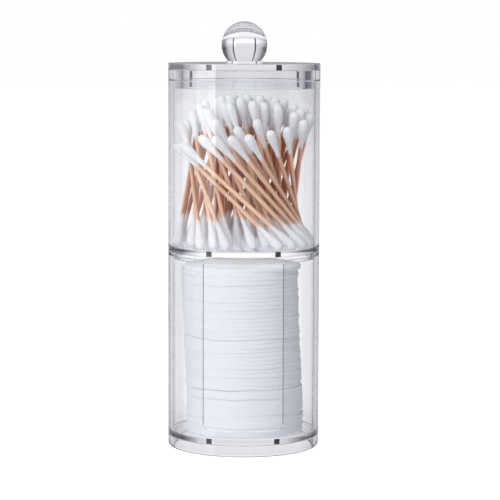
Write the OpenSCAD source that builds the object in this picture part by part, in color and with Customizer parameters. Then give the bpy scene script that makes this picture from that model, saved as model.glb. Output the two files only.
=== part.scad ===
// Clear holder with two stacked jars: cotton swabs above, round cotton pads below.
// The origin is in the middle of the foot, +Z is up and the pad slot faces -Y.

/* [Jars] */
// Outer diameter of both jars and of the lid
jar_d = 75; // [66:1:100]
// Thickness of the clear walls
wall_t = 2; // [1.5:0.1:3]
// Thickness of the floor of each jar
floor_t = 2.7; // [2:0.1:4]
// Height of the hollow under the pad jar
foot_h = 5.6; // [3:0.1:10]
// Width of the ring that the holder stands on
foot_w = 3; // [2:0.1:5]
// Rounding of the outer edge of the foot
foot_round = 1.2; // [0.4:0.1:2]
// Rounding of the outer edges of the rims and of the lid
edge_round = 0.4; // [0.2:0.05:0.6]
// Free height from the pad stack to the rim of the pad jar
pad_room = 4.9; // [3:0.1:20]
// Free height from an upright swab to the rim of the swab jar
swab_room = 7; // [6:0.1:20]

/* [Pad slot] */
// Width of the slot in the front wall
slot_w = 38.4; // [20:0.2:50]
// Height of the lip that is left under the slot, above the floor
slot_lip = 4.2; // [3:0.1:12]
// Rounding of the two lower corners of the slot
slot_round = 3; // [1:0.1:6]
// Rounding of the two upper corners, where the slot meets the rim
slot_flare = 2.5; // [1:0.1:5]

/* [Joints between the jars and the lid] */
// Running gap all round between a plug ring and the bore it sits in
plug_gap = 0.2; // [0.1:0.05:0.5]
// Depth that the ring under the swab jar reaches into the pad jar
jar_plug_l = 1.8; // [1:0.1:5]
// Width of the ring under the swab jar
jar_plug_w = 2.3; // [1.5:0.1:4]
// Height of the shoulder under the floor of the swab jar
shoulder_h = 1.3; // [0.6:0.1:4]
// Depth that the ring under the lid reaches into the swab jar
lid_plug_l = 4; // [2:0.1:5]

/* [Lid and knob] */
// Thickness of the lid's top plate
plate_t = 3; // [2:0.1:5]
// Height of the lid's rim below the top plate
rim_h = 5.2; // [3:0.1:10]
// Width of the lid's rim
rim_w = 7.2; // [5:0.1:12]
// Width of the knob across two opposite panels
knob_w = 22.8; // [16:0.2:30]
// Number of panels on the knob
knob_panels = 8; // [6:2:12]
// How far the rounded ridges between the panels stand out
knob_ridge = 0.73; // [0.2:0.01:0.85]
// How far the ridges' rounding is pulled down, which leaves a smooth crown
crown_drop = 0.84; // [0.2:0.02:1.2]
// Height of the knob's middle above the lid
knob_lift = 9.2; // [8:0.1:10]
// Diameter of the round foot that the knob is glued down on
knob_foot_d = 18; // [14:0.2:24]
// Thickness of that foot
knob_foot_t = 1.1; // [0.6:0.1:2]

/* [Cotton pads] */
// Number of pads in the stack
pad_count = 40; // [8:1:42]
// Diameter of a pad
pad_d = 58; // [50:0.5:60]
// Thickness of a pad
pad_t = 2.07; // [1.5:0.01:3]
// Rounding of a pad's pressed edge
pad_round = 0.7; // [0.3:0.05:0.74]
// Place of the bottom pad, to the right of the jar's middle
pad_offset = 0.9; // [-2:0.1:2]
// Sideways drift of the stack from its bottom to its top
pad_drift = -2.9; // [-3:0.1:3]
// Random sideways shift of each pad
pad_shake = 0.4; // [0:0.05:0.6]
// How far the top pad has slid to the right
top_pad_slip = 1.9; // [0:0.1:3]

/* [Cotton swabs] */
// Length of a swab over both tips
swab_len = 75; // [65:0.5:80]
// Diameter of the stick
stick_d = 2.3; // [2:0.1:2.6]
// Largest diameter of a cotton tip
tip_d = 5; // [4.5:0.1:5.6]
// Length of a cotton tip
tip_l = 14.5; // [10:0.5:18]
// Length of a tip's full width, behind its round end
tip_full_l = 4.4; // [2:0.1:6]
// Diameter of a tip where it ends on the stick
tip_neck_d = 3; // [2.8:0.1:4]
// Depth that the stick reaches into a tip
stick_grip = 10.5; // [6:0.5:12]
// Gap all round between a stick and the bore of its tip
grip_gap = 0.04; // [0.02:0.01:0.1]
// Smallest gap between two swabs, and between a swab and the jar
swab_gap = 0.12; // [0.05:0.01:0.4]
// Distance from one ring of feet to the next
ring_step = 5.6; // [5.2:0.1:9]
// Turn of the sheaf from its feet to its upper tips
sheaf_twist = 82; // [40:1:95]
// Turn of the swabs in the heart of the sheaf
heart_twist = 50; // [20:1:95]
// Extra turn at the front of the sheaf, taken off at its back
twist_spread = 24; // [0:1:30]
// Largest random shift of an upper tip
tip_shake = 5; // [0:0.1:8]
// Largest random angle that is added to or taken off a swab's turn
twist_shake = 25; // [0:1:40]
// Largest lean of a swab off upright
lean_limit = 70; // [60:1:75]
// Direction from the jar's middle in which each ring of feet begins
ring_start = -60; // [-180:1:180]
// Number of loose swabs that are tried in the gaps between the rings
dart_count = 60; // [0:1:120]
// Number that picks the random shifts
shake_seed = 11; // [1:1:99]

/* [Hidden] */
$fn = 96;
swab_groups = 7;
jar_r = jar_d / 2;
bore_r = jar_r - wall_t;
plug_r = bore_r - plug_gap;
knob_r = knob_w / 2;
tip_r = tip_d / 2;
stick_r = stick_d / 2;
through = 1;

// Heights, from the table up
pad_floor_z = foot_h + floor_t;
stack_top_z = pad_floor_z + pad_count * pad_t;
joint_z = stack_top_z + pad_room;
swab_floor_z = joint_z + shoulder_h + floor_t;
swab_rim_z = swab_floor_z + swab_len + swab_room;
plate_z = swab_rim_z + rim_h;
lid_top_z = plate_z + plate_t;

// Circle on which the middles of the outermost tips' round ends stand
end_r = bore_r - tip_r - swab_gap;
// Distance between the middles of the two round ends of one swab
span = swab_len - tip_d;
longest_reach = span * sin(lean_limit);
foot_z = swab_floor_z + tip_r + swab_gap;

function pad_name(i) = str("pad_", i < 10 ? "0" : "", i);
function stick_name(k) = str("swab_sticks_", k);
function tip_name(k) = str("swab_tips_", k);

// Corner between two straight edges, rounded outwards: the square that is
// cut away around the quarter circle whose middle is at the origin
module corner_cut(r) {
    difference() {
        square(r + through);
        circle(r);
    }
}

// Half section of a ring or tube, with its outer top edge rounded
module wall_section(r_in, r_out, z_low, z_high, round_top = 0) {
    difference() {
        translate([r_in, z_low]) square([r_out - r_in, z_high - z_low]);
        if (round_top > 0)
            translate([r_out - round_top, z_high - round_top]) corner_cut(round_top);
    }
}

// Pad jar: foot ring, floor, wall and the slot that is open at the rim
module pad_jar_section() {
    difference() {
        union() {
            wall_section(bore_r, jar_r, foot_round, joint_z, edge_round);
            square([jar_r, pad_floor_z]);
        }
        translate([-through, -through]) square([jar_r - foot_w + through, foot_h + through]);
        translate([jar_r - foot_round, foot_round]) mirror([0, 1]) corner_cut(foot_round);
    }
}

// Outline of the slot, seen from the front
module slot_outline() {
    slot_z = pad_floor_z + slot_lip;
    half = slot_w / 2;
    difference() {
        translate([-half - slot_flare, slot_z])
            square([slot_w + 2 * slot_flare, joint_z - slot_z + through]);
        for (side = [0, 1]) mirror([side, 0]) {
            translate([half, slot_z - through])
                square([slot_flare + through, joint_z - slot_flare - slot_z + through]);
            translate([half + slot_flare, joint_z - slot_flare]) circle(slot_flare);
            translate([half - slot_round, slot_z + slot_round]) mirror([0, 1]) corner_cut(slot_round);
        }
    }
}

module pad_jar() {
    color([0.86, 0.88, 0.9, 0.3]) difference() {
        rotate_extrude() pad_jar_section();
        rotate([90, 0, 0]) linear_extrude(jar_r + through) slot_outline();
    }
}

// Swab jar: ring that drops into the pad jar, floor, wall and rim
module swab_jar_section() {
    floor_low_z = joint_z + shoulder_h;
    wall_section(bore_r - jar_plug_w, plug_r, joint_z - jar_plug_l, swab_floor_z);
    translate([0, floor_low_z]) square([jar_r, floor_t]);
    wall_section(bore_r - jar_plug_w, jar_r, joint_z, floor_low_z + floor_t);
    wall_section(bore_r, jar_r, floor_low_z, swab_rim_z, edge_round);
}

module swab_jar() {
    color([0.86, 0.88, 0.9, 0.3]) rotate_extrude() swab_jar_section();
}

// Lid: top plate, thick rim on the jar's edge and plug ring inside it
module lid_section() {
    ring_in = jar_r - rim_w;
    wall_section(ring_in, jar_r, swab_rim_z, lid_top_z, edge_round);
    wall_section(ring_in, plug_r, swab_rim_z - lid_plug_l, lid_top_z);
    translate([0, plate_z]) square([plug_r, plate_t]);
}

module lid() {
    color([0.86, 0.88, 0.9, 0.3]) rotate_extrude() lid_section();
}

// What is cut away outside one panel of the knob, which is part of a lying
// cylinder. The cut starts inside the smooth crown, clear of the knob's axis.
module panel_cut() {
    inside_crown = knob_r / 4;
    difference() {
        translate([inside_crown, -knob_r, -knob_lift]) cube([knob_r, knob_w, knob_lift + knob_r]);
        rotate([90, 0, 0]) cylinder(r = knob_r, h = 2 * knob_w, center = true);
    }
}

// Knob: a ball with panels under a smooth crown, cut flat half way down its round foot
module knob_ball() {
    flat_z = knob_foot_t / 2 - knob_lift;
    difference() {
        translate([0, 0, -crown_drop]) sphere(knob_r + knob_ridge);
        for (k = [0 : knob_panels - 1]) rotate(k * 360 / knob_panels) panel_cut();
        translate([0, 0, flat_z - knob_w]) cylinder(r = knob_w, h = knob_w);
    }
}

module knob() {
    color([0.86, 0.88, 0.9, 0.3]) translate([0, 0, lid_top_z]) {
        translate([0, 0, knob_lift]) knob_ball();
        cylinder(d = knob_foot_d, h = knob_foot_t);
    }
}

// Cotton pads: pressed discs in a stack that drifts and shakes a little
pad_shifts = rands(-pad_shake, pad_shake, 2 * pad_count, shake_seed);
function pad_place(i) =
    let (rise = pad_count > 1 ? (i - 1) / (pad_count - 1) : 0,
         slip = i == pad_count ? top_pad_slip : 0)
    [pad_offset + pad_drift * rise + slip + pad_shifts[2 * i - 2],
     pad_shifts[2 * i - 1],
     pad_floor_z + (i - 1) * pad_t];

module pad(i) {
    edge_r = pad_d / 2 - pad_round;
    color([0.93, 0.95, 0.98]) translate(pad_place(i)) rotate_extrude() difference() {
        square([pad_d / 2, pad_t]);
        translate([edge_r, pad_t - pad_round]) corner_cut(pad_round);
        translate([edge_r, pad_round]) mirror([0, 1]) corner_cut(pad_round);
    }
}

function held(x, low, high) = min(max(x, low), high);
// Shortest distance between the segments p1-q1 and p2-q2
function segment_gap(p1, q1, p2, q2) =
    let (d1 = q1 - p1, d2 = q2 - p2, r = p1 - p2,
         a = d1 * d1, e = d2 * d2, b = d1 * d2, c = d1 * r, f = d2 * r,
         den = a * e - b * b,
         s0 = den > 1e-6 ? held((b * f - c * e) / den, 0, 1) : 0,
         t = held((b * s0 + f) / e, 0, 1),
         s = held((b * t - c) / a, 0, 1))
    norm(p1 + s * d1 - p2 - t * d2);

// A swab is its foot and its upper end, each the middle of a round end.
// The cotton reaches from each end along this share of the way.
tip_share = (tip_l - tip_r) / span;
function cotton(swab) = [
    [swab[0], swab[0] + tip_share * (swab[1] - swab[0])],
    [swab[1], swab[1] + tip_share * (swab[0] - swab[1])]
];
function clear_pair(a, b) =
    let (axes = segment_gap(a[0], a[1], b[0], b[1]))
    axes >= tip_d + swab_gap ? true
    : axes < stick_d + swab_gap ? false
    : let (ca = cotton(a), cb = cotton(b), side = tip_r + stick_r + swab_gap)
      min([for (p = ca, q = cb) segment_gap(p[0], p[1], q[0], q[1])]) >= tip_d + swab_gap
      && min([for (p = ca) segment_gap(p[0], p[1], b[0], b[1])]) >= side
      && min([for (q = cb) segment_gap(q[0], q[1], a[0], a[1])]) >= side;
function clear_of_all(swab, others) =
    len([for (other = others) if (!clear_pair(swab, other)) 1]) == 0;

function turned(p, a) = [p.x * cos(a) - p.y * sin(a), p.x * sin(a) + p.y * cos(a)];
function kept_inside(p) = norm(p) > end_r ? p * (end_r / norm(p)) : p;
function swab_between(foot, top) =
    let (wanted = norm(top - foot),
         reach = min(wanted, longest_reach),
         end = wanted > reach ? foot + (top - foot) * (reach / wanted) : top)
    [[foot.x, foot.y, foot_z], [end.x, end.y, foot_z + sqrt(span * span - reach * reach)]];

// Turn of one swab, by the direction of its foot: most across the front, least across the back
function twist_at(a) = sheaf_twist - twist_spread * sin(a - sheaf_twist / 2);
// Step along a ring to the next foot: leaning tips need more room than upright ones
function foot_step(r, a) =
    let (lean = asin(min(longest_reach, 2 * r * sin(twist_at(a) / 2)) / span),
         apart = (tip_d + swab_gap) / cos(lean))
    2 * asin(min(1, apart / 2 / r));
function ring_angles(r, a, last) =
    a + foot_step(r, a) > last ? [a] : concat([a], ring_angles(r, a + foot_step(r, a), last));
function ring_feet() = [
    for (r = [end_r : -ring_step : ring_step / 2])
        for (a = ring_angles(r, ring_start, ring_start + 360)) turned([r, 0], a)
];
// Loose swabs that were dropped into the gaps of the rings
darts = rands(0, 1, 2 * dart_count, shake_seed + 1);
function loose_feet() = [
    for (i = [0:dart_count - 1]) turned([end_r * sqrt(darts[2 * i]), 0], 360 * darts[2 * i + 1])
];

function feet() = concat(ring_feet(), loose_feet());

// Upper end of a swab: each further try strays more from the plain twist
tries = 10;
shifts = rands(-1, 1, 3 * tries * len(feet()), shake_seed);
function upper_end(foot, i, try) =
    let (stray = try / (tries - 1),
         at = 3 * (i * tries + try),
         share = norm(foot) / end_r,
         turn = twist_at(atan2(foot.y, foot.x)) * share + heart_twist * (1 - share)
                + twist_shake * stray * shifts[at])
    kept_inside(turned(foot, -turn) + stray * tip_shake * [shifts[at + 1], shifts[at + 2]]);
function first_clear(foot, i, try, placed) =
    try == tries ? undef
    : let (swab = swab_between(foot, upper_end(foot, i, try)))
      clear_of_all(swab, placed) ? swab : first_clear(foot, i, try + 1, placed);
function sheaf(places, i = 0, placed = []) =
    i == len(places) ? placed
    : let (swab = first_clear(places[i], i, 0, placed))
      sheaf(places, i + 1, is_undef(swab) ? placed : concat(placed, [swab]));

// Swabs of one group: every so many swabs of the sheaf, as there are groups
function group_of(k) =
    let (all = sheaf(feet()))
    [for (i = [k - 1 : swab_groups : len(all) - 1]) all[i]];

// Puts its children at the swab's foot, with +Z along the stick
module along(swab) {
    way = swab[1] - swab[0];
    translate(swab[0])
        rotate([0, acos(way.z / norm(way)), atan2(way.y, way.x)])
            children();
}

module stick() {
    stick_low = tip_l - stick_grip - tip_r;
    translate([0, 0, stick_low]) cylinder(r = stick_r, h = span - 2 * stick_low);
}

// Cotton tip with its round end at the origin and its bore upwards
module tip() {
    bore_low = tip_l - stick_grip - tip_r - grip_gap;
    difference() {
        union() {
            sphere(tip_r);
            cylinder(r = tip_r, h = tip_full_l);
            translate([0, 0, tip_full_l])
                cylinder(r1 = tip_r, d2 = tip_neck_d, h = tip_l - tip_r - tip_full_l);
        }
        translate([0, 0, bore_low]) cylinder(r = stick_r + grip_gap, h = tip_l);
    }
}

module swab_sticks(k) {
    color([0.84, 0.69, 0.58]) for (swab = group_of(k)) along(swab) stick();
}

module swab_tips(k) {
    color([0.96, 0.96, 0.97]) for (swab = group_of(k)) along(swab) {
        tip();
        translate([0, 0, span]) mirror([0, 0, 1]) tip();
    }
}

pad_jar();
swab_jar();
lid();
knob();
for (i = [1:pad_count]) pad(i);
for (k = [1:swab_groups]) swab_sticks(k);
for (k = [1:swab_groups]) swab_tips(k);
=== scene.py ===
import math

import bmesh
import bpy
import numpy as np
from bpy.props import FloatProperty, FloatVectorProperty, IntProperty, PointerProperty
from mathutils import Matrix, Vector, noise


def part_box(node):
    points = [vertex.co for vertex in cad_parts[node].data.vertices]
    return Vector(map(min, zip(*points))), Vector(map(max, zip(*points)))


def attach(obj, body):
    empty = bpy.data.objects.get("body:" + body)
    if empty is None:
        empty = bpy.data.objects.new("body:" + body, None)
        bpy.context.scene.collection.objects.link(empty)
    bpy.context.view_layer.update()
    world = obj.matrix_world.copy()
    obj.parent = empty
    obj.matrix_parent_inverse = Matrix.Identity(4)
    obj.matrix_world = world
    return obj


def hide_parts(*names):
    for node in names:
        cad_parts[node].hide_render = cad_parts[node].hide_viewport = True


bl_info = {
    "name": "Cotton Swab Holder",
    "version": (1, 0, 0),
    "blender": (4, 5, 0),
    "location": "View3D > Sidebar > Swab Holder",
    "description": "Builds a clear two-jar holder filled with cotton swabs and round cotton pads",
    "category": "Object",
}

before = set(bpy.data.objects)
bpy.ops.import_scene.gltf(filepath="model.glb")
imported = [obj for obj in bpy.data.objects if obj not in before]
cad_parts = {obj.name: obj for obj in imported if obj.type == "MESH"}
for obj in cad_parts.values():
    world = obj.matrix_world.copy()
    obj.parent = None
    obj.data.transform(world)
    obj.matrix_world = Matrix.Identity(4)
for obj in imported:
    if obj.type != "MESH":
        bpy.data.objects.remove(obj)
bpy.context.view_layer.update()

MM = 0.001
WHITE = (1, 1, 1, 1)
DAYLIGHT = (0.985, 1.0, 1.025)
SOCKETS = {float: "NodeSocketFloat", int: "NodeSocketInt", tuple: "NodeSocketVector"}

# Heights and radii from the CAD nodes' boxes
LOW, HIGH = 0, 1
X, Z = 0, 2
JAR_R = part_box("pad_jar")[HIGH][X]
JOINT_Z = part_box("pad_jar")[HIGH][Z]
RIM_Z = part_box("swab_jar")[HIGH][Z]
LID_TOP_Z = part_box("knob")[LOW][Z]
PAD_FLOOR_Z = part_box("pad_01")[LOW][Z]
SWAB_LOW_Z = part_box("swab_jar")[LOW][Z]
LID_LOW_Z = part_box("lid")[LOW][Z]

PAD_NODES = sorted(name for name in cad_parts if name.startswith("pad_") and name != "pad_jar")
STICK_NODES = sorted(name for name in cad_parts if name.startswith("swab_sticks"))
TIP_NODES = sorted(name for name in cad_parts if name.startswith("swab_tips"))

# The room that the clear plastic shows, as given (degrees, brightness) stops.
# Bent through it, by direction to the side, alike for what lies behind and in front:
BACKDROP = [(-90, 0.6), (-76, 0.6), (-74, 0.1), (-60, 0.12), (-50, 0.35), (-35, 0.68), (-20, 0.96),
            (-17, 1.0), (17, 1.0), (20, 0.95), (28, 0.74), (36, 0.42), (41, 0.14), (74, 0.1),
            (76, 0.6), (90, 0.6)]
# Bent through it, by height over the horizon:
HEIGHTS = [(-90, 1.0), (-15, 1.0), (-14, 0.8), (-11, 0.8), (-10, 1.08), (-5.5, 1.08), (-3.6, 1.0),
           (-2.2, 0.86), (-1.2, 0.78), (45, 0.72), (55, 0.2), (90, 0.15)]
# Mirrored by it, by direction all round, in steps with sharp edges:
SIDES = [(-180, 0.35), (-137, 5.5), (-125, 4.0), (-105, 2.0), (-75, 1.2), (-60, 0.8), (-40, 0.35),
         (144, 0.35)]
# Where the bent room turns into the floor, the table and the dark flags, as (start, full) degrees
FLOOR_EDGE = (-2.5, -5.5)
TABLE_EDGE = (-11.4, -13.4)
FLAG_SIDE = (24, 40)
FLAG_FOOT = (2, 5)


def length(name, text, default_mm, low_mm=0.0, high_mm=200.0):
    """A length property, given in millimetres."""
    return FloatProperty(name=name, description=text, default=default_mm * MM, min=low_mm * MM,
                         max=high_mm * MM, subtype="DISTANCE", unit="LENGTH", precision=5)


def in_degrees(name, text, default):
    """An angle property, given in degrees."""
    return FloatProperty(name=name, description=text, default=math.radians(default), subtype="ANGLE")


def amount(name, text, default, low, high, subtype="NONE"):
    """A number without a unit, a whole one where its default is whole."""
    kind = IntProperty if isinstance(default, int) else FloatProperty
    return kind(name=name, description=text, default=default, min=low, max=high, subtype=subtype)


def colour(name, text, default):
    """A colour property in linear values."""
    return FloatVectorProperty(name=name, description=text, default=default, min=0, max=1, subtype="COLOR")


class ClearPartSettings(bpy.types.PropertyGroup):
    """Sizes and finish of the jars, the lid and the knob."""

    wall: length("Wall", "Thickness of the clear walls", 2.0)
    floor: length("Floor", "Thickness of each jar's floor", 2.7)
    shoulder: length("Shoulder", "Height of the shoulder under the floor", 1.3)
    foot_height: length("Foot height", "Hollow under the pad jar's floor", 5.6)
    foot_width: length("Foot width", "Width of the foot ring", 3.0)
    foot_round: length("Foot rounding", "Rounding of the foot's outer edge", 1.2)
    edge_round: length("Edge rounding", "Rounding of rims and lid", 0.4)
    inner_round: length("Inner rounding", "Rounding of small edges", 0.25)
    corner_round: length("Corner rounding", "Rounding where a wall meets a floor", 0.6)
    plug_gap: length("Plug gap", "Gap round a plug ring", 0.2)
    plug_width: length("Plug width", "Width of the ring under the swab jar", 2.3)
    rim_width: length("Lid rim width", "Width of the lid's rim", 7.2)
    plate: length("Lid plate", "Thickness of its top plate", 3.0)
    air_film: length("Air film", "Gap between stacked clear parts", 0.03)
    slot_width: length("Slot width", "Width of the front slot", 38.4)
    slot_lip: length("Slot lip", "Lip under the slot", 4.2)
    slot_round: length("Slot rounding", "Rounding of its lower corners", 3.0)
    slot_flare: length("Slot flare", "Rounding of its upper corners", 2.5)
    slot_edge: length("Slot edge", "Rounding of its cut edges", 0.3)
    knob_width: length("Knob width", "Width over two opposite panels", 22.8)
    knob_lift: length("Knob lift", "Height of its middle above the lid", 9.2)
    knob_ridge: length("Knob ridge", "How far the ridges stand out", 0.73)
    knob_soft: length("Knob softness", "Rounding between the panels", 1.8)
    crown_drop: length("Crown drop", "How far the ridges are pulled down", 0.84)
    knob_foot: length("Knob foot", "Diameter of its round foot", 18.0)
    knob_foot_height: length("Knob foot height", "Height of its round foot", 1.1)
    panels: amount("Panels", "Panels round the knob", 8, 4, 16)
    segments: amount("Segments", "Segments round a clear part", 256, 64, 512)
    tint: colour("Tint", "Colour of the clear plastic", (0.965, 0.968, 0.985))
    refraction: amount("Index of refraction", "Of the clear plastic", 1.49, 1.3, 1.7)


class SwabSettings(bpy.types.PropertyGroup):
    """Sizes and colours of the swabs."""

    stick_width: length("Stick", "Diameter of the wooden stick", 2.3)
    tip_width: length("Tip width", "Largest diameter of a tip", 5.0)
    tip_length: length("Tip length", "Length of a cotton tip", 14.5)
    neck_width: length("Neck", "Diameter of a tip's end on the stick", 2.42)
    grip: length("Grip", "Depth that the stick reaches into a tip", 10.5)
    fuzz: length("Fuzz", "How far fibres run out on the wood", 3.0)
    lump: length("Lumps", "Height of the soft lumps on a tip", 0.16)
    winding: length("Winding", "Height of the wound ridges on a tip", 0.05)
    variants: amount("Variants", "Different tips that are mixed", 6, 1, 12)
    wood: colour("Wood", "Colour of the sticks", (0.95, 0.67, 0.49))
    wood_dark: colour("Dark wood", "Colour of the wood's grain lines", (0.80, 0.47, 0.28))
    # Painted shade: the sides of the sticks that face into the sheaf are tinted darker and oranger with
    # this colour
    sheaf_shade_tint: colour("Painted sheaf shade", "Tint of sides that face the sheaf", (0.62, 0.27, 0.11))
    cotton: colour("Tip cotton", "Colour of the cotton tips", (0.93, 0.94, 0.955))


class PadSettings(bpy.types.PropertyGroup):
    """Sizes and colour of the cotton pads."""

    uneven: length("Uneven edge", "Unevenness of a pad's edge", 0.15)
    groove: length("Groove", "Depth of the groove between two pads", 0.26)
    seam: length("Seam", "Depth of the groove between two bundles", 0.6)
    wave: length("Wave", "How far rims wave up and down", 2.4)
    bend: length("Bend", "How far rims wave in and out", 0.6)
    first_bundle: amount("First bundle", "Pads in the lowest bundle", 11, 1, 40)
    second_bundle: amount("Second bundle", "Pads in the middle bundle", 12, 1, 40)
    segments: amount("Segments", "Segments round a pad", 120, 32, 192)
    cotton: colour("Pad cotton", "Colour of the pads", (0.86, 0.88, 0.92))


class StudioSettings(bpy.types.PropertyGroup):
    """Camera, lamps and backdrop."""

    distance: length("Camera distance", "From the jars' axis", 1062.0, 100.0, 5000.0)
    height: length("Camera height", "Of the camera above the table", 209.5, 0.0, 3000.0)
    side: length("Camera side", "Of the camera, to the right", 3.1, -100.0, 100.0)
    pitch: in_degrees("Pitch", "Downward tilt of the camera", 6.02)
    roll: in_degrees("Roll", "Slight lean of the camera", 0.2)
    lens: amount("Lens", "Focal length for a 36 mm sensor", 154.5, 20.0, 400.0, "DISTANCE_CAMERA")
    key: amount("Key", "Brightness of the softbox at the front left", 6.5, 0.0, 20.0)
    floor_glow: amount("Floor glow", "Light under the swab jar's clear floor", 0.35, 0.0, 5.0)
    fill: amount("Fill", "Soft light of the room", 0.47, 0.0, 2.0)
    tilt: amount("Tilt", "How bright the room's light side is", 0.8, 0.0, 1.0)
    light_way: FloatVectorProperty(name="Light side", description="Where the room is brightest",
                                   default=(-0.6, -0.8, 0.4), subtype="DIRECTION")
    gap_at: in_degrees("Gap direction", "Of the backdrop's dark gaps", 18.0)
    gap_width: in_degrees("Gap width", "Width of the dark gaps", 3.4)
    gap_dark: amount("Gap darkness", "How dark the gaps are", 0.95, 0.0, 1.0)
    sheet_low: in_degrees("Sheet foot", "Lower end of the left sheet", -5.4)
    flag_dark: amount("Flag darkness", "How dark the room's upper sides are", 0.65, 0.0, 1.0)
    floor_white: amount("Floor whiteness", "How white the floor stays sideways", 0.08, 0.0, 1.0)


def new_object(name, mesh):
    """Links a new object at the origin."""
    piece = bpy.data.objects.new(name, mesh)
    bpy.context.scene.collection.objects.link(piece)
    return piece


def piece_from(name, shape):
    """Turns a bmesh into an object with its faces turned outwards."""
    bmesh.ops.recalc_face_normals(shape, faces=shape.faces)
    mesh = bpy.data.meshes.new(name)
    shape.to_mesh(mesh)
    shape.free()
    return new_object(name, mesh)


def rounded_outline(corners, steps=5):
    """Points of an outline with (across, up, rounding) corners."""
    points = []
    count = len(corners)
    for i, (x, y, radius) in enumerate(corners):
        here = Vector((x, y))
        if radius <= 0:
            points.append((x, y))
            continue
        before = (Vector(corners[i - 1][:2]) - here).normalized()
        after = (Vector(corners[(i + 1) % count][:2]) - here).normalized()
        half = before.angle(after) / 2
        reach = radius / math.tan(half)
        centre = here + (before + after).normalized() * (radius / math.sin(half))
        first = here + before * reach - centre
        sweep = first.angle_signed(here + after * reach - centre)
        for step in range(steps + 1):
            arm = first.copy()
            arm.rotate(Matrix.Rotation(-sweep * step / steps, 2))
            points.append(tuple(centre + arm))
    return points


def turned_piece(name, profile_at, segments):
    """A closed piece round the Z axis. profile_at(angle) gives its (radius, height) points, from the
    axis at the bottom to the axis at the top, and as many at every angle."""
    shape = bmesh.new()
    angles = [2 * math.pi * i / segments for i in range(segments)]
    rows = [profile_at(angle) for angle in angles]
    low = shape.verts.new((0, 0, rows[0][0][1]))
    high = shape.verts.new((0, 0, rows[0][-1][1]))
    rings = [[shape.verts.new((r * math.cos(angle), r * math.sin(angle), z)) for r, z in row[1:-1]]
             for angle, row in zip(angles, rows)]
    for i, here in enumerate(rings):
        following = rings[(i + 1) % segments]
        shape.faces.new((low, following[0], here[0]))
        shape.faces.new((high, here[-1], following[-1]))
        for k in range(len(here) - 1):
            shape.faces.new((here[k], following[k], following[k + 1], here[k + 1]))
    return piece_from(name, shape)


def smooth(mesh, sharp_degrees=35):
    """Smooth shading, with edges sharper than the angle kept sharp."""
    mesh.shade_smooth()
    mesh.set_sharp_from_angle(angle=math.radians(sharp_degrees))


def apply_modifiers(piece):
    """Replaces a piece's mesh by the result of its modifiers."""
    graph = bpy.context.evaluated_depsgraph_get()
    made = bpy.data.meshes.new_from_object(piece.evaluated_get(graph), depsgraph=graph)
    piece.modifiers.clear()
    old = piece.data
    piece.data = made
    made.name = piece.name
    bpy.data.meshes.remove(old)


def modify(piece, kind, **settings):
    """Runs a modifier on a piece and keeps the result as its mesh."""
    modifier = piece.modifiers.new(kind, kind)
    for name, value in settings.items():
        setattr(modifier, name, value)
    apply_modifiers(piece)


def put_inputs(node, values):
    """Sets or links inputs of a node, from a dictionary."""
    for name, value in values.items():
        socket = node.inputs[name]
        if isinstance(value, bpy.types.NodeSocket):
            node.id_data.links.new(value, socket)
        else:
            socket.default_value = value


def add_node(kind, inputs=None, tree=None, **settings):
    """Adds a node with its settings and inputs. One that another node feeds goes into its tree."""
    inputs = inputs or {}
    if tree is None:
        tree = next(value.id_data for value in inputs.values() if isinstance(value, bpy.types.NodeSocket))
    node = tree.nodes.new(kind)
    for name, value in settings.items():
        setattr(node, name, value)
    put_inputs(node, inputs)
    return node


def value_of(kind, inputs=None, **settings):
    """Adds a node and gives its first output."""
    return add_node(kind, inputs, **settings).outputs[0]


def maths(operation, *values):
    """A Math node's result."""
    return value_of("ShaderNodeMath", dict(enumerate(values)), operation=operation)


def product(first, *others):
    """Numbers multiplied by each other."""
    for other in others:
        first = maths("MULTIPLY", first, other)
    return first


def rest(share):
    """What a share leaves of 1."""
    return maths("SUBTRACT", 1.0, share)


def vectors(operation, *values):
    """A Vector Math node's result. The second value of SCALE is a number."""
    sockets = (0, 3) if operation == "SCALE" else (0, 1)
    node = add_node("ShaderNodeVectorMath", dict(zip(sockets, values)), operation=operation)
    return node.outputs["Value" if operation in ("DOT_PRODUCT", "LENGTH") else "Vector"]


def axes_of(vector):
    """The X, Y and Z of a vector, by name."""
    return add_node("ShaderNodeSeparateXYZ", {"Vector": vector}).outputs


def vector_from(**axes):
    """A vector from the axes that are given."""
    return value_of("ShaderNodeCombineXYZ", axes)


def spread(value, start, end, low=0.0, high=1.0, soft=False):
    """A value that goes from low, where another is at start, to high, where it is at end."""
    return value_of("ShaderNodeMapRange",
                    {"Value": value, "From Min": start, "From Max": end, "To Min": low, "To Max": high},
                    interpolation_type="SMOOTHSTEP" if soft else "LINEAR")


def blend(share, first, second):
    """A mix of two colours, at the Mix node's sockets for colours."""
    return add_node("ShaderNodeMix", {"Factor": share, 6: first, 7: second}, data_type="RGBA").outputs[2]


def noise_field(place, scale, detail, roughness=0.5, distortion=0.0, result=0):
    """A Noise Texture node's value, or its colour where result is 1."""
    return add_node("ShaderNodeTexNoise",
                    {"Vector": place, "Scale": scale, "Detail": detail, "Roughness": roughness,
                     "Distortion": distortion}).outputs[result]


def bump(height, strength, depth):
    """The normal of a surface with small heights on it."""
    return value_of("ShaderNodeBump", {"Height": height, "Strength": strength, "Distance": depth})


def store(geometry, name, value, kind="FLOAT"):
    """Keeps a value at every point under a name."""
    return value_of("GeometryNodeStoreNamedAttribute",
                    {"Geometry": geometry, "Name": name, "Value": value},
                    data_type=kind, domain="POINT")


def stored(tree, name, kind="FLOAT"):
    """A value that every point has under a name."""
    return value_of("GeometryNodeInputNamedAttribute", {"Name": name}, tree=tree, data_type=kind)


def random_number(seed, low, high, **number):
    """A random number for every point, or for every ID, at the node's sockets for numbers."""
    return add_node("FunctionNodeRandomValue", {2: low, 3: high, "Seed": seed, **number},
                    data_type="FLOAT").outputs[1]


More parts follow.
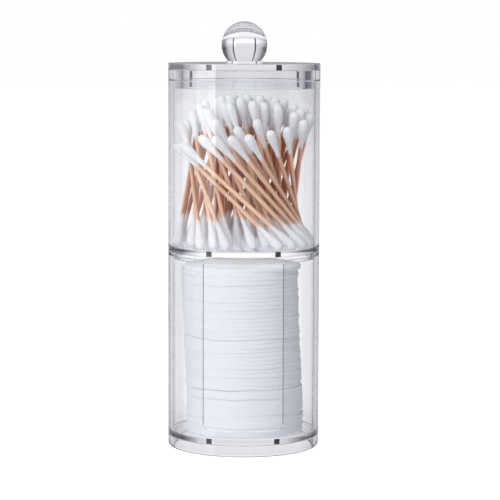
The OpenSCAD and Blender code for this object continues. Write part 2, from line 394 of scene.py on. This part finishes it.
def geometry_group(name, inputs):
    """A Geometry Nodes tree with named inputs: (tree, inputs, result node)."""
    tree = bpy.data.node_groups.new(name, "GeometryNodeTree")
    for side in ("INPUT", "OUTPUT"):
        tree.interface.new_socket("Geometry", in_out=side, socket_type="NodeSocketGeometry")
    for label, default in inputs.items():
        made = tree.interface.new_socket(label, in_out="INPUT", socket_type=SOCKETS[type(default)])
        made.default_value = default
    return tree, tree.nodes.new("NodeGroupInput").outputs, tree.nodes.new("NodeGroupOutput")


def blank_material(name):
    """A material with a Principled shader: (material, tree, shader)."""
    material = bpy.data.materials.new(name)
    material.use_nodes = True
    tree = material.node_tree
    return material, tree, tree.nodes["Principled BSDF"]


def object_place(tree):
    """Places on the object, so that textures move with it."""
    return add_node("ShaderNodeTexCoord", tree=tree).outputs["Object"]


def cotton_material(name, tone, scale, hollow_shade, depth):
    """White cotton, matte with a soft sheen, soft clumps and fine bent fibres, with painted shade that
    darkens the colour where they are low. hollow_shade is the colour's lowest share, and depth the fibres'
    height."""
    material, tree, shader = blank_material(name)
    clump_scale, fibre_scale, fibre_share = 900.0, 2600.0, 0.3
    place = vectors("SCALE", object_place(tree), scale)
    clumps = noise_field(place, clump_scale, 4.0, 0.65)
    bent = noise_field(place, fibre_scale, 5.0, 0.7, distortion=2.5)
    # A fibre lies where the bent noise passes its middle value
    away = maths("ABSOLUTE", maths("SUBTRACT", bent, 0.5))
    strand = rest(product(away, 4.0))
    height = maths("ADD", product(clumps, 1 - fibre_share), product(strand, fibre_share))
    # Painted shade: the colour darkens to hollow_shade where the clumps and fibres are low
    shade = spread(height, 0.25, 0.75, hollow_shade, 1.0)
    put_inputs(shader, {"Base Color": vectors("SCALE", tone, shade),
                        "Normal": bump(height, 0.6, depth),
                        "Roughness": 0.95, "Specular IOR Level": 0.15,
                        "Sheen Weight": 0.25, "Sheen Roughness": 0.6})
    return material


def clear_material(s):
    """Polished clear plastic with faint moulding ripples and a trace of haze."""
    found = bpy.data.materials.get("Clear plastic")
    if found:
        return found
    material, tree, shader = blank_material("Clear plastic")
    place = object_place(tree)
    ripple = noise_field(place, 45.0, 1.0)
    haze = noise_field(place, 220.0, 3.0)
    most_rough = 0.02
    put_inputs(shader, {"Base Color": (*s.tint, 1), "Normal": bump(ripple, 0.1, 0.2 * MM),
                        "Roughness": spread(haze, 0.3, 0.8, 0.0, most_rough),
                        "IOR": s.refraction, "Transmission Weight": 1.0})
    return material


def wood_material(s):
    """Pale birch with grain along each stick, a tone for each, and painted shade on the sides that face
    into the sheaf.
    Cotton fibres run out on the wood from under the tips."""
    material, tree, shader = blank_material("Birch stick")
    grain, tone, inner, along, whole = (
        add_node("ShaderNodeAttribute", tree=tree, attribute_name=name).outputs
        for name in ("grain", "tone", "inner", "along", "whole"))
    grain_scale = (2200, 2200, 90)
    stretched = value_of("ShaderNodeMapping", {"Vector": grain["Vector"], "Scale": grain_scale})
    lines = noise_field(stretched, 1.0, 5.0, 0.6)
    pores = spread(lines, 0.35, 0.7)
    wood = blend(pores, (*s.wood_dark, 1), (*s.wood, 1))
    wood = vectors("SCALE", wood, spread(tone["Fac"], 0, 1, 0.88, 1.12))
    # Painted shade: sides that face into the sheaf are darkened and tinted oranger
    wood = blend(inner["Fac"], wood, vectors("MULTIPLY", wood, s.sheaf_shade_tint))
    from_end = maths("MINIMUM", along["Fac"], maths("SUBTRACT", whole["Fac"], along["Fac"]))
    fuzz = spread(from_end, s.grip + s.fuzz, s.grip, soft=True)
    fuzz = product(fuzz, maths("ADD", pores, 0.4))
    put_inputs(shader, {"Base Color": blend(fuzz, wood, (*s.cotton, 1)),
                        "Normal": bump(lines, 0.4, 0.08 * MM),
                        "Roughness": 0.55, "Specular IOR Level": 0.3})
    return material


def finish_clear(piece, body, nodes, settings, sharp_degrees=35):
    """Shading and material of a clear part, which rides on its body's empty and hides the CAD nodes it
    stands for. Its normals follow the large faces, so that straight walls bend no light. Lamp light passes
    through to the cotton inside."""
    smooth(piece.data, sharp_degrees)
    modify(piece, "WEIGHTED_NORMAL", mode="FACE_AREA", weight=100, keep_sharp=True)
    piece.data.materials.append(clear_material(settings))
    piece.visible_shadow = False
    piece.visible_diffuse = False
    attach(piece, body)
    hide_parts(*nodes)


def slot_cutter(s):
    """Solid that cuts the U-shaped slot, open at the rim, out of the front wall."""
    half = s.slot_width / 2
    low = PAD_FLOOR_Z + s.slot_lip
    over = 5 * MM
    flare = s.slot_flare
    steps = 8
    turns = [math.pi / 2 * step / steps for step in range(1, steps + 1)]
    right = [(half + flare - flare * math.cos(turn), JOINT_Z - flare + flare * math.sin(turn))
             for turn in turns]
    right.append((half + flare, JOINT_Z + over))
    left = [(-x, z) for x, z in reversed(right)]
    foot = rounded_outline([(-half, JOINT_Z - flare, 0), (-half, low, s.slot_round),
                            (half, low, s.slot_round), (half, JOINT_Z - flare, 0)], steps)
    shape = bmesh.new()
    face = shape.faces.new([shape.verts.new((x, -JAR_R - over, z)) for x, z in foot + right + left])
    for made in bmesh.ops.extrude_face_region(shape, geom=[face])["geom"]:
        if isinstance(made, bmesh.types.BMVert):
            made.co.y = 0
    return piece_from("slot_cutter", shape)


class HOLDER_OT_pad_jar(bpy.types.Operator):
    """Build the lower jar, with its foot ring and the slot in its front wall"""

    bl_idname = "swab_holder.pad_jar"
    bl_label = "Pad jar"

    def execute(self, context):
        s = context.scene.clear_parts
        bore = JAR_R - s.wall
        foot_in = JAR_R - s.foot_width
        section = rounded_outline([
            (0, s.foot_height, 0), (foot_in, s.foot_height, s.corner_round),
            (foot_in, 0, s.inner_round), (JAR_R, 0, s.foot_round),
            (JAR_R, JOINT_Z, s.edge_round), (bore, JOINT_Z, s.inner_round),
            (bore, PAD_FLOOR_Z, s.corner_round), (0, PAD_FLOOR_Z, 0)])
        jar = turned_piece("pad_jar_clear", lambda angle: section, s.segments)
        cutter = slot_cutter(s)
        modify(jar, "BOOLEAN", object=cutter, operation="DIFFERENCE", solver="EXACT")
        bpy.data.objects.remove(cutter)
        modify(jar, "BEVEL", limit_method="ANGLE", angle_limit=math.radians(60), width=s.slot_edge,
               segments=3)
        finish_clear(jar, "pad_jar", ["pad_jar"], s)
        return {"FINISHED"}


class HOLDER_OT_swab_jar(bpy.types.Operator):
    """Build the upper jar, with the ring under its floor that drops into the pad jar"""

    bl_idname = "swab_holder.swab_jar"
    bl_label = "Swab jar"

    def execute(self, context):
        s = context.scene.clear_parts
        bore = JAR_R - s.wall
        ring_in = bore - s.plug_width
        ring_out = bore - s.plug_gap
        base = JOINT_Z + s.air_film
        under = JOINT_Z + s.shoulder
        section = rounded_outline([
            (0, under, 0), (ring_in, under, s.inner_round),
            (ring_in, SWAB_LOW_Z, s.inner_round), (ring_out, SWAB_LOW_Z, s.inner_round),
            (ring_out, base, s.inner_round), (JAR_R, base, s.inner_round),
            (JAR_R, RIM_Z, s.edge_round), (bore, RIM_Z, s.inner_round),
            (bore, under + s.floor, s.corner_round), (0, under + s.floor, 0)])
        jar = turned_piece("swab_jar_clear", lambda angle: section, s.segments)
        finish_clear(jar, "swab_jar", ["swab_jar"], s)
        return {"FINISHED"}


def knob_radius(s, tilt, angle):
    """Distance from the knob's middle to its surface, by the tilt from upright and the angle round
    the axis."""
    across, up = math.sin(tilt), math.cos(tilt)
    round_r = s.knob_width / 2 + s.knob_ridge
    drop = s.crown_drop
    soft = max(s.knob_soft * across * across, 1e-9)
    reach = -up * drop + math.sqrt(max(0.0, up * up * drop * drop + round_r ** 2 - drop ** 2))
    for k in range(s.panels):
        facing = across * math.cos(angle + math.pi / 2 - 2 * math.pi * k / s.panels)
        if facing > 0:
            panel = s.knob_width / 2 / math.hypot(facing, up)
            # The edge between two surfaces is rounded where they come close to each other
            near = max(0.0, 1 - abs(panel - reach) / soft)
            reach = min(panel, reach) - near * near * soft / 4
    return reach


class HOLDER_OT_lid(bpy.types.Operator):
    """Build the lid with its plug ring and the panelled knob that is glued on it"""

    bl_idname = "swab_holder.lid"
    bl_label = "Lid and knob"

    def execute(self, context):
        s = context.scene.clear_parts
        ring_in = JAR_R - s.rim_width
        ring_out = JAR_R - s.wall - s.plug_gap
        base = RIM_Z + s.air_film
        plate = LID_TOP_Z - s.plate
        foot = s.knob_foot / 2
        foot_top = LID_TOP_Z + s.knob_foot_height
        middle = LID_TOP_Z + s.knob_lift
        # The lid's section, from under the plate to the edge of the knob's foot
        section = rounded_outline([
            (0, plate, 0), (ring_in, plate, s.corner_round),
            (ring_in, LID_LOW_Z, s.inner_round), (ring_out, LID_LOW_Z, s.inner_round),
            (ring_out, base, s.inner_round), (JAR_R, base, s.inner_round),
            (JAR_R, LID_TOP_Z, s.edge_round), (foot, LID_TOP_Z, s.inner_round),
            (foot, foot_top, s.inner_round), (0, foot_top, 0)])[:-1]
        ball_steps, halvings = 60, 30

        def profile(angle):
            # The tilt at which the ball meets the top of the foot, found by halving
            low, high = math.pi / 2, math.pi
            for _ in range(halvings):
                tilt = (low + high) / 2
                if knob_radius(s, tilt, angle) * math.cos(tilt) > foot_top - middle:
                    low = tilt
                else:
                    high = tilt
            points = list(section)
            for step in range(ball_steps + 1):
                tilt = low * (1 - step / ball_steps)
                reach = knob_radius(s, tilt, angle)
                points.append((reach * math.sin(tilt), middle + reach * math.cos(tilt)))
            return points

        lid = turned_piece("lid_clear", profile, s.segments)
        finish_clear(lid, "lid", ["lid", "knob"], s, 25)
        return {"FINISHED"}


def islands(shape):
    """The vertices of each separate solid of a bmesh."""
    seen = set()
    for start in shape.verts:
        if start in seen:
            continue
        island, todo = [], [start]
        seen.add(start)
        while todo:
            vert = todo.pop()
            island.append(vert)
            for edge in vert.link_edges:
                other = edge.other_vert(vert)
                if other not in seen:
                    seen.add(other)
                    todo.append(other)
        yield island


def stick_lines():
    """Both ends of every stick's axis, lower end first, read from the CAD sticks."""
    lines = []
    for name in STICK_NODES:
        shape = bmesh.new()
        shape.from_mesh(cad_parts[name].data)
        bmesh.ops.remove_doubles(shape, verts=shape.verts, dist=0.001 * MM)
        for island in islands(shape):
            points = np.array([vert.co for vert in island])
            middle = points.mean(0)
            axis = np.linalg.svd(points - middle, full_matrices=False)[2][0]
            along = (points - middle) @ axis
            ends = [Vector(middle + axis * reach) for reach in (along.min(), along.max())]
            lines.append(sorted(ends, key=lambda end: end.z))
        shape.free()
    return sorted(lines, key=lambda line: (round(line[0].x, 5), round(line[0].y, 5)))


def marked_points(name, places, edges=(), **marks):
    """A mesh of points and edges. Each mark is a whole number or a direction for every point."""
    mesh = bpy.data.meshes.new(name)
    mesh.from_pydata(places, edges, [])
    for label, values in marks.items():
        if isinstance(values[0], int):
            mesh.attributes.new(label, "INT", "POINT").data.foreach_set("value", values)
        else:
            flat = [part for value in values for part in value]
            mesh.attributes.new(label, "FLOAT_VECTOR", "POINT").data.foreach_set("vector", flat)
    return new_object(name, mesh)


def run_nodes(piece, tree, values, material):
    """Runs a Geometry Nodes tree with values for its inputs and keeps the result as the mesh."""
    modifier = piece.modifiers.new(tree.name, "NODES")
    modifier.node_group = tree
    for item in tree.interface.items_tree:
        if item.item_type == "SOCKET" and item.in_out == "INPUT" and item.name in values:
            modifier[item.identifier] = values[item.name]
    apply_modifiers(piece)
    piece.data.materials.clear()
    piece.data.materials.append(material)


def stick_tree(material):
    """Geometry nodes: a round stick along every edge. It stores what the wood's grain and tone need,
    how far along the stick a point is and, for the wood's painted shade, how far its side faces into the
    sheaf."""
    tree, given, result = geometry_group("Wooden Sticks", {"Diameter": 2.3 * MM, "Sides": 16, "Rings": 8})
    grain_seed, tone_seed = 3, 8
    lines = value_of("GeometryNodeMeshToCurve", {"Mesh": given["Geometry"]})
    lines = value_of("GeometryNodeResampleCurve", {"Curve": lines, "Count": given["Rings"]})
    lines = store(lines, "along", add_node("GeometryNodeSplineParameter", tree=tree).outputs["Length"])
    lines = store(lines, "whole", add_node("GeometryNodeSplineLength", tree=tree).outputs["Length"])
    place = value_of("GeometryNodeInputPosition", tree=tree)
    ring = value_of("GeometryNodeCurvePrimitiveCircle",
                    {"Resolution": given["Sides"], "Radius": product(given["Diameter"], 0.5)})
    ring = store(ring, "cross", place, "FLOAT_VECTOR")
    sticks = value_of("GeometryNodeCurveToMesh", {"Curve": lines, "Profile Curve": ring, "Fill Caps": True})
    swab = stored(tree, "swab", "INT")
    shift = value_of("FunctionNodeRandomValue",
                     {"Min": (0, 0, 0), "Max": (1, 1, 1), "ID": swab, "Seed": grain_seed},
                     data_type="FLOAT_VECTOR")
    grain = vectors("ADD", stored(tree, "cross", "FLOAT_VECTOR"), vector_from(Z=stored(tree, "along")))
    sticks = store(sticks, "grain", vectors("ADD", grain, shift), "FLOAT_VECTOR")
    sticks = store(sticks, "tone", random_number(tone_seed, 0.0, 1.0, ID=swab))
    outward = vectors("NORMALIZE", vectors("MULTIPLY", place, (1, 1, 0)))
    facing = vectors("DOT_PRODUCT", value_of("GeometryNodeInputNormal", tree=tree), outward)
    # Mask of the wood's painted shade: 1 where a side faces into the sheaf, 0 where it faces out
    sticks = store(sticks, "inner", spread(facing, 0.8, -0.3, soft=True))
    put_inputs(result, {"Geometry": value_of(
        "GeometryNodeSetMaterial", {"Geometry": sticks, "Material": material})})
    return tree


def scatter_tree(name, shapes, material, seed):
    """Geometry nodes: the shape that a point's kind picks, with its Z axis along the point's way and
    turned at random about it."""
    tree, given, result = geometry_group(name, {"Size Spread": 0.04, "Seed": seed})
    choice = add_node("GeometryNodeJoinGeometry", tree=tree)
    for shape in reversed(shapes):
        info = add_node("GeometryNodeObjectInfo", {"Object": shape, "As Instance": True}, tree)
        tree.links.new(info.outputs["Geometry"], choice.inputs[0])
    aligned = value_of("FunctionNodeAlignRotationToVector",
                       {"Vector": stored(tree, "way", "FLOAT_VECTOR")}, axis="Z")
    spin = random_number(given["Seed"], 0.0, 2 * math.pi)
    turned = value_of("FunctionNodeRotateRotation",
                      {"Rotation": aligned, "Rotate By": vector_from(Z=spin)},
                      rotation_space="LOCAL")
    size = random_number(maths("ADD", given["Seed"], 2), rest(given["Size Spread"]), 1.0)
    placed = value_of("GeometryNodeInstanceOnPoints",
                      {"Points": given["Geometry"], "Instance": choice.outputs[0],
                       "Pick Instance": True, "Instance Index": stored(tree, "kind", "INT"),
                       "Rotation": turned, "Scale": size})
    real = value_of("GeometryNodeRealizeInstances", {"Geometry": placed})
    real = value_of("GeometryNodeSetShadeSmooth", {"Geometry": real})
    put_inputs(result, {"Geometry": value_of(
        "GeometryNodeSetMaterial", {"Geometry": real, "Material": material})})
    return tree


def scattered(name, places, ways, kinds, shapes, size_spread, seed, cotton):
    """A cotton piece with a shape at every place. The shapes are used up."""
    piece = marked_points(name, places, way=ways, kind=kinds)
    run_nodes(piece, scatter_tree(name, shapes, cotton, seed), {"Size Spread": size_spread}, cotton)
    for shape in shapes:
        bpy.data.objects.remove(shape)
    return piece


def tip_shape(s, number):
    """One cotton tip with its round end at the origin and its stick along +Z. Each number gives
    other lumps and winding."""
    around, along = 20, 22
    round_part, taper_part = 0.35, 0.95
    radius = s.tip_width / 2
    neck = s.neck_width / 2
    end = s.tip_length - radius
    belly = 0.35 * radius
    lump_size = 1.3
    radians_per_mm, strands = 2.4, 3
    seed = Vector((number * 7.3, number * 3.1, 0))

    def outline(t):
        # Height and radius along the tip: a round end, then a taper that runs out on the stick
        if t < round_part:
            turn = math.pi / 2 * t / round_part
            return belly - (radius + belly) * math.cos(turn), radius * math.sin(turn) ** 0.8
        u = (t - round_part) / (1 - round_part)
        fall = min(1.0, u / taper_part) ** 1.2
        fall = fall * fall * (3 - 2 * fall)
        return belly + (end - belly) * u, radius + (neck - radius) * fall ** 0.9

    def profile(angle):
        points = [(0, -radius)]
        for k in range(1, along):
            height, wide = outline(k / (along - 1))
            if k > along / 4:
                at = Vector((math.cos(angle), math.sin(angle), height / radius * 0.8)) * lump_size + seed
                soft = noise.noise(at) * s.lump - s.lump * 0.45
                wound = math.sin(strands * angle + height / MM * radians_per_mm + number) * s.winding
                keep = min(1.0, 4 * k / along) * min(1.0, 0.25 + (wide - neck) / (radius - neck))
                wide += (soft + wound) * keep
            points.append((wide, height))
        # The end closes inside the stick
        points.append((s.stick_width / 2 * 0.9, end + 0.1 * MM))
        points.append((0, end - 0.3 * MM))
        return points

    return turned_piece(f"tip_shape_{number}", profile, around)


class HOLDER_OT_swabs(bpy.types.Operator):
    """Build all the swabs: wooden sticks, and a wound cotton tip on each end"""

    bl_idname = "swab_holder.swabs"
    bl_label = "Cotton swabs"

    def execute(self, context):
        s = context.scene.swabs
        lines = stick_lines()
        ends = [end for line in lines for end in line]
        pairs = [(2 * i, 2 * i + 1) for i in range(len(lines))]
        wood = wood_material(s)
        sticks = marked_points("wooden_sticks", ends, pairs, swab=[i // 2 for i in range(len(ends))])
        run_nodes(sticks, stick_tree(wood), {"Diameter": s.stick_width}, wood)
        smooth(sticks.data)
        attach(sticks, "swab_jar")
        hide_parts(*STICK_NODES)

        beyond = s.tip_length - s.grip - s.tip_width / 2
        places, ways = [], []
        for low, high in lines:
            way = (high - low).normalized()
            places += [low - way * beyond, high + way * beyond]
            ways += [way, -way]
        shapes = [tip_shape(s, number) for number in range(s.variants)]
        cotton = cotton_material("Wound cotton", s.cotton, 1.0, 0.90, 0.12 * MM)
        kinds = [i * 5 % s.variants for i in range(len(places))]
        tips = scattered("cotton_tips", places, ways, kinds, shapes, 0.03, 5, cotton)
        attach(tips, "swab_jar")
        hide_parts(*TIP_NODES)
        return {"FINISHED"}


def pad_shape(s, name, radius, thick, number, low_groove, high_groove):
    """One pressed cotton pad on the plane z = 0, with a groove under and over its rim. Each point of
    the rim stores its depth under the pad's radius."""
    seed = Vector((number * 5.7, number * 2.9, 1.3))
    film = 0.004 * MM
    steps = 8
    rings = (0.3, 0.6, 0.8, 0.9, 0.97)
    rim_depth = 0.025 * radius

    def profile(angle):
        way = Vector((math.cos(angle), math.sin(angle), 0))
        broad, fine = noise.noise(way * 2.2 + seed), noise.noise(way * 16 + seed)
        edge = radius - s.uneven * (0.5 - broad - 0.4 * fine)
        rim = []
        for k in range(steps + 1):
            up = 2 * k / steps - 1
            groove = low_groove if up < 0 else high_groove
            rim.append((edge - groove * abs(up) ** 2.5, thick / 2 + (thick / 2 - film) * up))
        inner = [(radius * share, film) for share in rings]
        outer = [(radius * share, thick - film) for share in reversed(rings)]
        return [(0, film)] + inner + rim + outer + [(0, thick - film)]

    shape = turned_piece(name, profile, s.segments)
    depth = shape.data.attributes.new("depth", "FLOAT", "POINT")
    for vertex, value in zip(shape.data.vertices, depth.data):
        below = radius - math.hypot(vertex.co.x, vertex.co.y)
        value.value = below if below < rim_depth else 0.0
    return shape


def wave_tree(low, high, tight_high):
    """Geometry nodes: waves the stack's rims up and down and in and out, but not its bottom and top.
    Shallow grooves are pressed nearly flush away from the loose side and in the tight bundle."""
    tree, given, result = geometry_group("Pad Waves", {
        "Wave": 0.5 * MM, "Bend": 0.4 * MM, "Rim": 29 * MM, "Shallow": 0.3 * MM,
        "Loose Side": (0.87, -0.5, 0)})
    tall = high - low
    still_low, still_high = 0.15 * tall, 0.1 * tall
    place = value_of("GeometryNodeInputPosition", tree=tree)
    split = axes_of(place)
    flat = vector_from(X=split["X"], Y=split["Y"])
    outward = vectors("NORMALIZE", flat)

    # Waves grow from the middle of the stack to its rim
    far = maths("DIVIDE", vectors("LENGTH", flat), given["Rim"])
    share = product(spread(split["Z"], low, low + still_low),
                    spread(split["Z"], high, high - still_high),
                    spread(far, 0.55, 1.0, soft=True))
    field = noise_field(place, 50.0, 2.0, result=1)
    waves = axes_of(field)
    up = product(maths("SUBTRACT", waves["X"], 0.5), given["Wave"], share)
    side = product(maths("SUBTRACT", waves["Y"], 0.6), given["Bend"], share)

    # Pressed grooves: the rim's points move out by their depth, but not in the deep seams
    depth = stored(tree, "depth")
    facing = vectors("DOT_PRODUCT", outward, given["Loose Side"])
    loose = spread(facing, 0.0, 0.87, 0.1, 1.0, soft=True)
    above = spread(split["Z"], tight_high - 0.2 * MM, tight_high, 0.2, 1.0)
    deep = spread(depth, given["Shallow"], product(given["Shallow"], 1.4))
    pressed = product(rest(product(loose, above)), rest(deep))
    side = maths("MULTIPLY_ADD", depth, pressed, side)

    move = vectors("ADD", vectors("SCALE", outward, side), vector_from(Z=up))
    put_inputs(result, {"Geometry": value_of("GeometryNodeSetPosition",
                                             {"Geometry": given["Geometry"], "Offset": move})})
    return tree


class HOLDER_OT_pads(bpy.types.Operator):
    """Build the stack of pressed cotton pads"""

    bl_idname = "swab_holder.pads"
    bl_label = "Cotton pads"

    def execute(self, context):
        s = context.scene.pads
        boxes = [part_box(name) for name in PAD_NODES]
        places = [((low[0] + high[0]) / 2, (low[1] + high[1]) / 2, low[2]) for low, high in boxes]
        low, high = boxes[0]
        radius, thick = (high[0] - low[0]) / 2, high[2] - low[2]
        # Grooves under and over a pad: loose pads, those of the tight lowest bundle, and the last
        # and the first pad of a bundle, at the deeper seam
        groove, seam, tight = s.groove, s.seam, s.groove * 0.3
        loose_pads = [(groove, groove), (groove * 0.8, groove), (groove, groove * 0.7), (groove, groove)]
        tight_pads = [(tight, tight), (tight, tight * 0.6)]
        kinds = loose_pads + tight_pads + [(groove, seam), (seam, groove)]
        last_kind, first_kind = len(kinds) - 2, len(kinds) - 1
        shapes = [pad_shape(s, f"pad_shape_{n}", radius, thick, n, *kind) for n, kind in enumerate(kinds)]
        bundle_ends = (s.first_bundle, s.first_bundle + s.second_bundle)
        chosen = []
        for i in range(1, len(places) + 1):
            if i in bundle_ends:
                chosen.append(last_kind)
            elif i - 1 in bundle_ends:
                chosen.append(first_kind)
            elif i < s.first_bundle:
                chosen.append(len(loose_pads) + i % len(tight_pads))
            else:
                chosen.append(i * 7 % len(loose_pads))
        cotton = cotton_material("Pressed cotton", s.cotton, 0.8, 0.95, 0.1 * MM)
        ways = [(0, 0, 1)] * len(places)
        pads = scattered("cotton_pads", places, ways, chosen, shapes, 0.0, 21, cotton)
        run_nodes(pads, wave_tree(places[0][2], places[-1][2] + thick, places[s.first_bundle][2]),
                  {"Wave": s.wave, "Bend": s.bend, "Rim": radius, "Shallow": s.uneven + s.groove}, cotton)
        smooth(pads.data, 50)
        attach(pads, "pad_jar")
        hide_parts(*PAD_NODES)
        return {"FINISHED"}


def room_ramp(degrees, stops, reach, steps=False):
    """Brightness of the room along an angle from -reach to reach, from (degrees, brightness) stops.
    What is dark is a little blue."""
    node = add_node("ShaderNodeValToRGB", {"Fac": spread(degrees, -reach, reach)})
    ramp = node.color_ramp
    ramp.interpolation = "CONSTANT" if steps else "LINEAR"
    for i, (at, level) in enumerate(stops):
        position = (at + reach) / (2 * reach)
        element = ramp.elements[i] if i < 2 else ramp.elements.new(position)
        element.position = position
        element.color = (level, level, level + 0.06 * (1 - level), 1)
    return node.outputs["Color"]


def bent_room(s, rise, folded):
    """What the plastic bends: white behind the holder and greyer sideways, with two dark gaps, the
    floor and the table below, and dark flags at the sides."""
    aside = maths("ABSOLUTE", folded)
    table = spread(rise, *TABLE_EDGE)
    floor = maths("MAXIMUM", spread(rise, *FLOOR_EDGE, 0.0, s.floor_white), table)
    room = blend(floor, room_ramp(folded, BACKDROP, 90), WHITE)
    room = vectors("MULTIPLY", room, room_ramp(rise, HEIGHTS, 90))
    gap = maths("COMPARE", aside, math.degrees(s.gap_at), math.degrees(s.gap_width) / 2)
    gap = product(gap, s.gap_dark, rest(table))
    flag = product(spread(aside, *FLAG_SIDE), spread(rise, *FLAG_FOOT, 0.0, s.flag_dark))
    return vectors("SCALE", room, product(rest(gap), rest(flag)))


def mirrored_room(s, rise, turn):
    """What the plastic mirrors: a bright sheet on the left with sharp sides and soft ends."""
    low, soft = math.degrees(s.sheet_low), 1.4
    tall = [(-90, 0.25), (low - soft, 0.25), (low + soft, 1.0), (12, 1.0), (18, 0.3), (90, 0.3)]
    return vectors("MULTIPLY", room_ramp(turn, SIDES, 180, steps=True), room_ramp(rise, tall, 90))


def soft_light(s, way):
    """What lights matte surfaces: an even room that is brighter on one side."""
    facing = vectors("DOT_PRODUCT", way, Vector(s.light_way).normalized())
    bright = product(maths("MULTIPLY_ADD", facing, s.tilt, 1.0), s.fill)
    return vectors("SCALE", DAYLIGHT, bright)


def studio_world(s):
    """A room that is white to the camera, and that clear plastic and matte surfaces see as above."""
    world = bpy.data.worlds.new("Studio")
    bpy.context.scene.world = world
    world.use_nodes = True
    tree = world.node_tree
    tree.nodes.clear()
    way = add_node("ShaderNodeTexCoord", tree=tree).outputs["Generated"]
    split = axes_of(way)
    rise = maths("DEGREES", maths("ARCSINE", split["Z"]))
    turn = maths("DEGREES", maths("ARCTAN2", split["X"], split["Y"]))
    ahead = maths("ABSOLUTE", split["Y"])
    folded = maths("DEGREES", maths("ARCTAN2", split["X"], ahead))
    seen = soft_light(s, way)
    path = add_node("ShaderNodeLightPath", tree=tree).outputs
    for ray, room in (("Glossy", mirrored_room(s, rise, turn)),
                      ("Transmission", bent_room(s, rise, folded)), ("Camera", WHITE)):
        seen = blend(path[f"Is {ray} Ray"], seen, room)
    back = value_of("ShaderNodeBackground", {"Color": seen, "Strength": 1.0})
    add_node("ShaderNodeOutputWorld", {"Surface": back})


def white_table(half=6.0):
    """A plain matte table top, a little brighter to the camera than its light makes it."""
    sheet = bpy.data.meshes.new("table")
    sheet.from_pydata([(-half, -half, 0), (half, -half, 0), (half, half, 0), (-half, half, 0)], [],
                      [(0, 1, 2, 3)])
    table = new_object("table", sheet)
    material, tree, shader = blank_material("White table")
    seen = add_node("ShaderNodeLightPath", tree=tree).outputs["Is Camera Ray"]
    put_inputs(shader, {"Base Color": (0.86, 0.86, 0.87, 1), "Roughness": 0.9,
                        "Specular IOR Level": 0.0, "Emission Color": WHITE,
                        "Emission Strength": product(seen, 0.6)})
    sheet.materials.append(material)
    table.visible_glossy = False
    table.visible_transmission = False
    return table


def softbox(name, place, aim, width, height, brightness):
    """An area lamp with an even brightness, aimed at a point."""
    lamp = bpy.data.lights.new(name, "AREA")
    lamp.shape = "RECTANGLE"
    lamp.size = width
    lamp.size_y = height
    lamp.energy = brightness * math.pi * width * height
    box = new_object(name, lamp)
    box.location = place
    box.rotation_euler = (Vector(aim) - Vector(place)).to_track_quat("-Z", "Y").to_euler()
    box.visible_camera = False
    box.visible_glossy = False
    box.visible_transmission = False


def photo_camera(s):
    """A camera that stands where the photograph was taken from."""
    eye = bpy.data.cameras.new("camera")
    eye.sensor_width = 36
    eye.lens = s.lens
    eye.clip_end = 50
    camera = new_object("camera", eye)
    camera.matrix_world = (
        Matrix.Translation((s.side, -s.distance, s.height))
        @ Matrix.Rotation(math.pi / 2 - s.pitch, 4, "X") @ Matrix.Rotation(s.roll, 4, "Z"))
    return camera


class HOLDER_OT_stage(bpy.types.Operator):
    """Set up the white table, the room, the lamps and the camera"""

    bl_idname = "swab_holder.stage"
    bl_label = "Stage"

    def execute(self, context):
        s = context.scene.studio
        scene = context.scene
        table = white_table()
        studio_world(s)

        turn, far = math.radians(30), 1.5
        wide, low, high = 0.6, 0.5, 1.3
        softbox("key_softbox", (-far * math.sin(turn), -far * math.cos(turn), (low + high) / 2),
                (0, 0, JOINT_Z), wide, high - low, s.key)
        # Light that the swab jar's clear floor passes on to the top pad
        glow_z, glow_size = JOINT_Z + 2.5 * MM, 45 * MM
        softbox("floor_glow", (0, 0, glow_z), (0, 0, 0), glow_size, glow_size, s.floor_glow)

        scene.camera = photo_camera(s)
        scene.view_settings.view_transform = "Standard"
        cycles = scene.cycles
        cycles.use_denoising = True
        cycles.max_bounces = cycles.transmission_bounces = cycles.glossy_bounces = 64
        cycles.diffuse_bounces = 5
        cycles.transparent_max_bounces = 16
        cycles.caustics_refractive = True
        cycles.caustics_reflective = True
        return {"FINISHED"}


class HOLDER_PT_panel(bpy.types.Panel):
    """Lists the holder's parts and settings"""

    bl_label = "Swab Holder"
    bl_idname = "HOLDER_PT_panel"
    bl_space_type = "VIEW_3D"
    bl_region_type = "UI"
    bl_category = "Swab Holder"

    def draw(self, context):
        column = self.layout.column()
        for operator in OPERATORS:
            column.operator(operator.bl_idname)
        for name, settings in SETTINGS.items():
            for setting in settings.__annotations__:
                column.prop(getattr(context.scene, name), setting)


SETTINGS = {"clear_parts": ClearPartSettings, "swabs": SwabSettings, "pads": PadSettings,
            "studio": StudioSettings}
OPERATORS = (HOLDER_OT_pad_jar, HOLDER_OT_swab_jar, HOLDER_OT_lid, HOLDER_OT_swabs, HOLDER_OT_pads,
             HOLDER_OT_stage)


def register():
    for name, group in SETTINGS.items():
        bpy.utils.register_class(group)
        setattr(bpy.types.Scene, name, PointerProperty(type=group))
    for item in (*OPERATORS, HOLDER_PT_panel):
        bpy.utils.register_class(item)


def unregister():
    for item in reversed((*OPERATORS, HOLDER_PT_panel)):
        bpy.utils.unregister_class(item)
    for name, group in SETTINGS.items():
        delattr(bpy.types.Scene, name)
        bpy.utils.unregister_class(group)


def main():
    register()
    bpy.ops.swab_holder.pad_jar()
    bpy.ops.swab_holder.swab_jar()
    bpy.ops.swab_holder.lid()
    bpy.ops.swab_holder.swabs()
    bpy.ops.swab_holder.pads()
    bpy.ops.swab_holder.stage()


if __name__ == "__main__":
    main()
